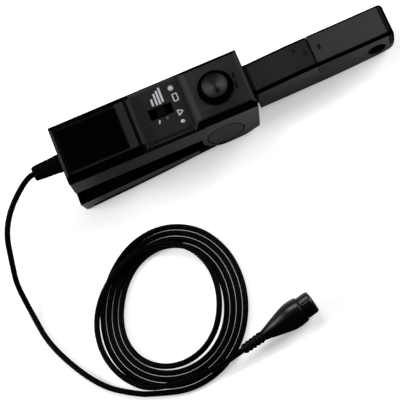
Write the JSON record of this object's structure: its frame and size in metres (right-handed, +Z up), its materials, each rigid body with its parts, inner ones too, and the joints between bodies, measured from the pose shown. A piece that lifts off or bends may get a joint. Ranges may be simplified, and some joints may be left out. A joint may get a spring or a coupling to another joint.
{
  "type": "oscilloscope current clamp probe",
  "caption": "Clamp-on current probe: slim body with dial and slide switch, long jaws with a cross hole, squeeze lever, and a coiled cord with a bayonet plug.",
  "frame": {"origin": "on the surface that the probe lies on, under the middle of the probe without its cord", "axes": "+X from the cord end to the jaw tip, +Y across to the left seen from the rear, +Z up, with the probe lying on its squeeze lever"},
  "size_m": [0.3002, 0.1889, 0.0581],
  "materials": {
    "main_housing": "fine matt texture",
    "belly_tray": "matt",
    "switch_panel": "satin film",
    "range_switch_case": "moulded",
    "power_lamp": "milky lens",
    "overload_lamp": "milky lens",
    "potentiometer": "plated",
    "circuit_board": "solder mask",
    "housing_screws": "plated",
    "board_screws": "plated",
    "jaw_screws": "plated",
    "battery": "plain wrapped case",
    "battery_snap": "moulded",
    "pivot_pin": "ground",
    "pivot_caps": "satin",
    "upper_jaw": "matt",
    "jaw_nose": "matt",
    "core_upper": "laminated",
    "field_sensor": "moulded chip",
    "return_spring": "wire",
    "strain_relief": "satin",
    "cable_lead": "satin sheath",
    "cable_coil": "satin sheath",
    "plug_boot": "glossy",
    "plug_sleeve": "plated",
    "plug_insulator": "white",
    "plug_pin": "plated",
    "lever": "fine matt texture",
    "lower_jaw": "matt",
    "core_lower": "laminated",
    "link_pin": "ground",
    "zero_dial": "satin dish and dark flank",
    "dial_shaft": "turned",
    "range_knob": "matt",
    "battery_door": "fine matt texture",
    "label_plate": "deep black, blank",
    "plug_nut": "glossy"
  },
  "bodies": {
    "body": {"main_housing": "main_housing", "belly_tray": "belly_tray", "switch_panel": "switch_panel", "range_switch_case": "range_switch_case", "power_lamp": "power_lamp", "overload_lamp": "overload_lamp", "potentiometer": "potentiometer", "circuit_board": "circuit_board", "housing_screws": "housing_screws", "board_screws": "board_screws", "jaw_screws": "jaw_screws", "battery": "battery", "battery_snap": "battery_snap", "pivot_pin": "pivot_pin", "pivot_caps": "pivot_caps", "upper_jaw": "upper_jaw", "jaw_nose": "jaw_nose", "core_upper": "core_upper", "field_sensor": "field_sensor", "return_spring": "return_spring", "strain_relief": "strain_relief", "cable_lead": "cable_lead", "cable_coil": "cable_coil", "plug_boot": "plug_boot", "plug_sleeve": "plug_sleeve", "plug_insulator": "plug_insulator", "plug_pin": "plug_pin"},
    "squeeze_lever": {"lever": "lever", "lower_jaw": "lower_jaw", "core_lower": "core_lower", "link_pin": "link_pin"},
    "dial": {"zero_dial": "zero_dial", "dial_shaft": "dial_shaft"},
    "switch": {"range_knob": "range_knob"},
    "door": {"battery_door": "battery_door", "label_plate": "label_plate"},
    "barrel": {"plug_nut": "plug_nut"}
  },
  "joints": [
    {"name": "jaw_lever", "type": "hinge", "parent": "body", "child": "squeeze_lever", "pos_m": [-0.00892, 0, 0.01706], "axis": [0, 1, 0], "range_deg": [0, 8], "stiffness_Nm_per_rad": 1.5, "springref_deg": -34.38, "deforming": ["return_spring"]},
    {"name": "zero_dial_turn", "type": "hinge", "parent": "body", "child": "dial", "pos_m": [-0.00024, 0, 0.04354], "axis": [0.1323, 0, 0.9912], "range_deg": [-135, 135]},
    {"name": "range_slide", "type": "slide", "parent": "body", "child": "switch", "axis": [0.9912, 0, -0.1323], "range_m": [-0.0043, 0.0043]},
    {"name": "door_slide", "type": "slide", "parent": "body", "child": "door", "axis": [-0.9912, 0, 0.1323], "range_m": [0, 0.045]},
    {"name": "plug_lock_turn", "type": "hinge", "parent": "body", "child": "barrel", "pos_m": [-0.0544, -0.1584, 0.0092], "axis": [0.9826, 0.1857, 0], "range_deg": [0, 90]}
  ]
}
